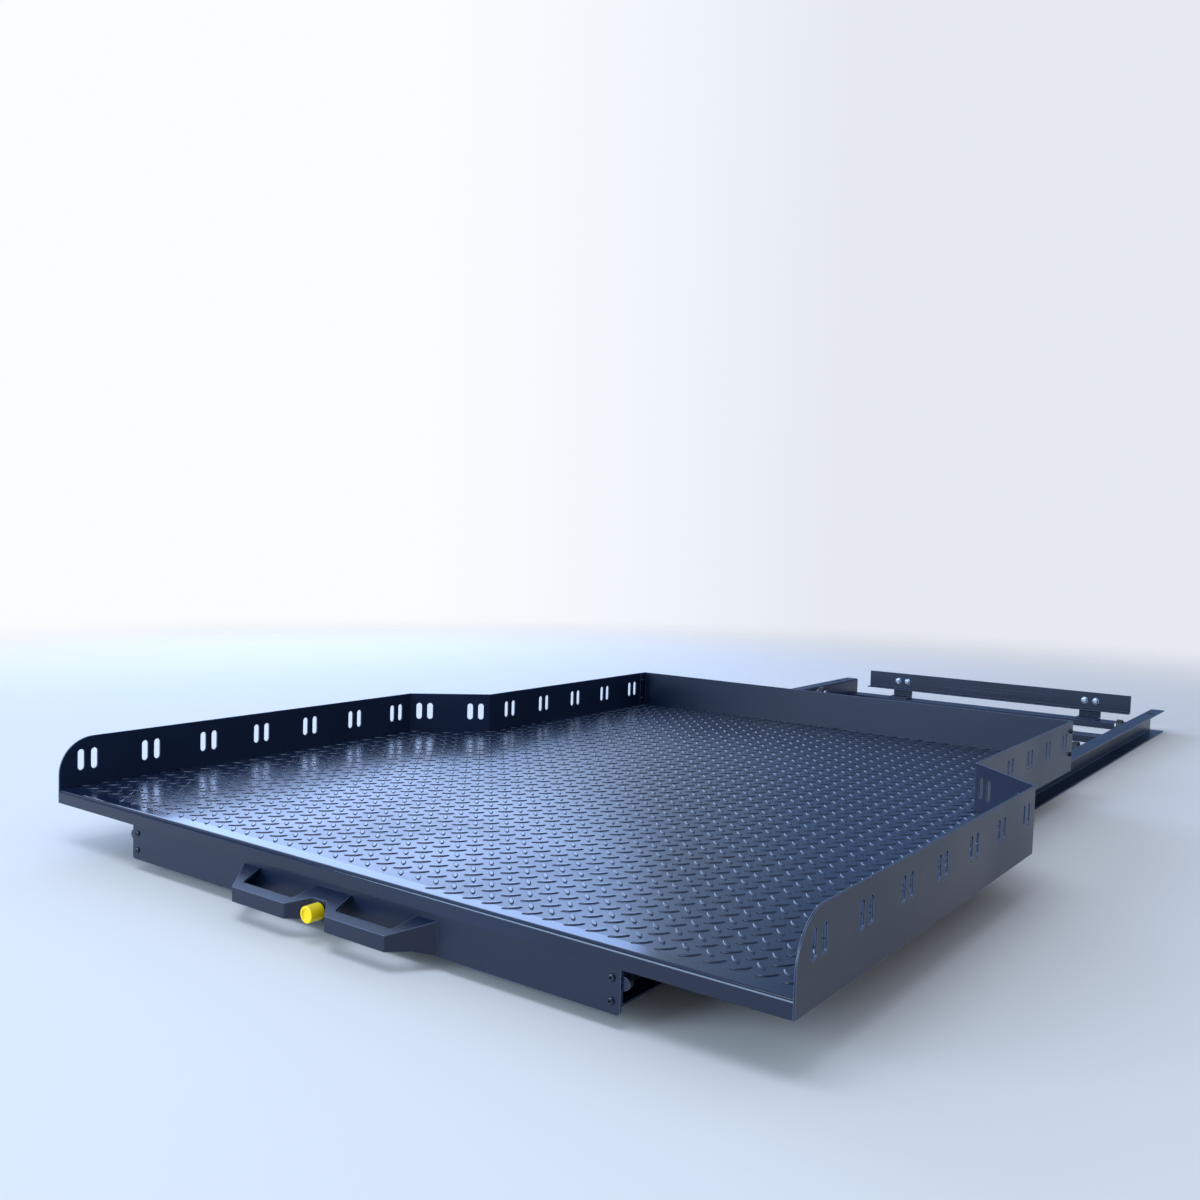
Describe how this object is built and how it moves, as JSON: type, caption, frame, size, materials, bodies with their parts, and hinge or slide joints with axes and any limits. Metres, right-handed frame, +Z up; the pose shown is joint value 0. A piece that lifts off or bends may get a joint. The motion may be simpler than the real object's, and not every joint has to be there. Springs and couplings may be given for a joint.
{
  "type": "truck bed slide",
  "caption": "Pull-out cargo tray for a pickup bed: stepped tread-plate deck, slotted walls, grip handle and lock knob, on rollers in a bolt-down base frame.",
  "frame": {"origin": "on the bed floor, in the middle of the four floor bolt holes of the base frame", "axes": "+X across the truck to the right seen from the tail end, +Y toward the cab (the way the tray goes in), +Z up; drawn with the tray fully out"},
  "size_m": [1.3, 2.711, 0.1706],
  "materials": {
    "black_powder_coat": "satin powder coat",
    "rubber_buffer": "matt",
    "black_screw": "blackened",
    "zinc_steel": "zinc plated",
    "spring_steel": "bright",
    "yellow_plastic": "smooth",
    "black_nylon": "matt"
  },
  "bodies": {
    "base": {"fixed_rail_right": "black_powder_coat", "fixed_rail_left": "black_powder_coat", "floor_crossmember_1": "black_powder_coat", "floor_crossmember_2": "black_powder_coat", "floor_crossmember_3": "black_powder_coat", "floor_crossmember_4": "black_powder_coat", "axle_bolts": "zinc_steel", "axle_spacers": "zinc_steel", "axle_nuts": "zinc_steel", "front_bar": "black_powder_coat", "bar_foot_right": "black_powder_coat", "bar_foot_left": "black_powder_coat", "bar_bolts": "zinc_steel", "bar_nuts": "zinc_steel"},
    "tray": {"deck_plate": "black_powder_coat", "side_wall_right": "black_powder_coat", "side_wall_left": "black_powder_coat", "rear_wall": "black_powder_coat", "wall_screws": "black_screw", "wall_nuts": "black_screw", "fascia_plate": "black_powder_coat", "fascia_screws": "black_screw", "handle": "black_powder_coat", "runner_right": "black_powder_coat", "runner_left": "black_powder_coat", "stop_buffer_right": "rubber_buffer", "stop_buffer_left": "rubber_buffer", "cross_bearer_1": "black_powder_coat", "cross_bearer_2": "black_powder_coat", "cross_bearer_3": "black_powder_coat", "cross_bearer_4": "black_powder_coat", "cross_bearer_5": "black_powder_coat", "lock_housing": "black_powder_coat", "return_spring": "spring_steel"},
    "pull": {"pull_rod": "zinc_steel", "rod_collar": "zinc_steel", "pull_knob": "yellow_plastic", "cam_plate": "zinc_steel"},
    "lock_pin": {"lock_pin": "zinc_steel", "cross_pin": "zinc_steel"},
    "roller_right_1": {"roller_right_1": "black_nylon"},
    "roller_right_2": {"roller_right_2": "black_nylon"},
    "roller_right_3": {"roller_right_3": "black_nylon"},
    "roller_right_4": {"roller_right_4": "black_nylon"},
    "roller_left_1": {"roller_left_1": "black_nylon"},
    "roller_left_2": {"roller_left_2": "black_nylon"},
    "roller_left_3": {"roller_left_3": "black_nylon"},
    "roller_left_4": {"roller_left_4": "black_nylon"}
  },
  "joints": [
    {"name": "tray_slide", "type": "slide", "parent": "base", "child": "tray", "axis": [0, 1, 0], "range_m": [0, 1.14]},
    {"name": "pull_knob", "type": "slide", "parent": "tray", "child": "pull", "axis": [0, -1, 0], "range_m": [0, 0.014], "stiffness_N_per_m": 600, "springref_m": -0.012, "deforming": ["return_spring"]},
    {"name": "pin_lift", "type": "slide", "parent": "tray", "child": "lock_pin", "axis": [0, 0, 1], "range_m": [0, 0.012]},
    {"name": "roller_right_1_spin", "type": "hinge", "parent": "base", "child": "roller_right_1", "pos_m": [0.434, -0.7175, 0.04625], "axis": [1, 0, 0], "continuous": true},
    {"name": "roller_right_2_spin", "type": "hinge", "parent": "base", "child": "roller_right_2", "pos_m": [0.434, -0.4625, 0.04625], "axis": [1, 0, 0], "continuous": true},
    {"name": "roller_right_3_spin", "type": "hinge", "parent": "base", "child": "roller_right_3", "pos_m": [0.434, -0.0075, 0.04625], "axis": [1, 0, 0], "continuous": true},
    {"name": "roller_right_4_spin", "type": "hinge", "parent": "base", "child": "roller_right_4", "pos_m": [0.434, 0.4475, 0.04625], "axis": [1, 0, 0], "continuous": true},
    {"name": "roller_left_1_spin", "type": "hinge", "parent": "base", "child": "roller_left_1", "pos_m": [-0.434, -0.7175, 0.04625], "axis": [1, 0, 0], "continuous": true},
    {"name": "roller_left_2_spin", "type": "hinge", "parent": "base", "child": "roller_left_2", "pos_m": [-0.434, -0.4625, 0.04625], "axis": [1, 0, 0], "continuous": true},
    {"name": "roller_left_3_spin", "type": "hinge", "parent": "base", "child": "roller_left_3", "pos_m": [-0.434, -0.0075, 0.04625], "axis": [1, 0, 0], "continuous": true},
    {"name": "roller_left_4_spin", "type": "hinge", "parent": "base", "child": "roller_left_4", "pos_m": [-0.434, 0.4475, 0.04625], "axis": [1, 0, 0], "continuous": true}
  ],
  "couplings": [
    {"joint": "pin_lift", "follows": "pull_knob", "ratio": 0.857},
    {"joint": "roller_right_1_spin", "follows": "tray_slide", "rad_per_m": -57.307},
    {"joint": "roller_left_1_spin", "follows": "tray_slide", "rad_per_m": -57.307}
  ]
}
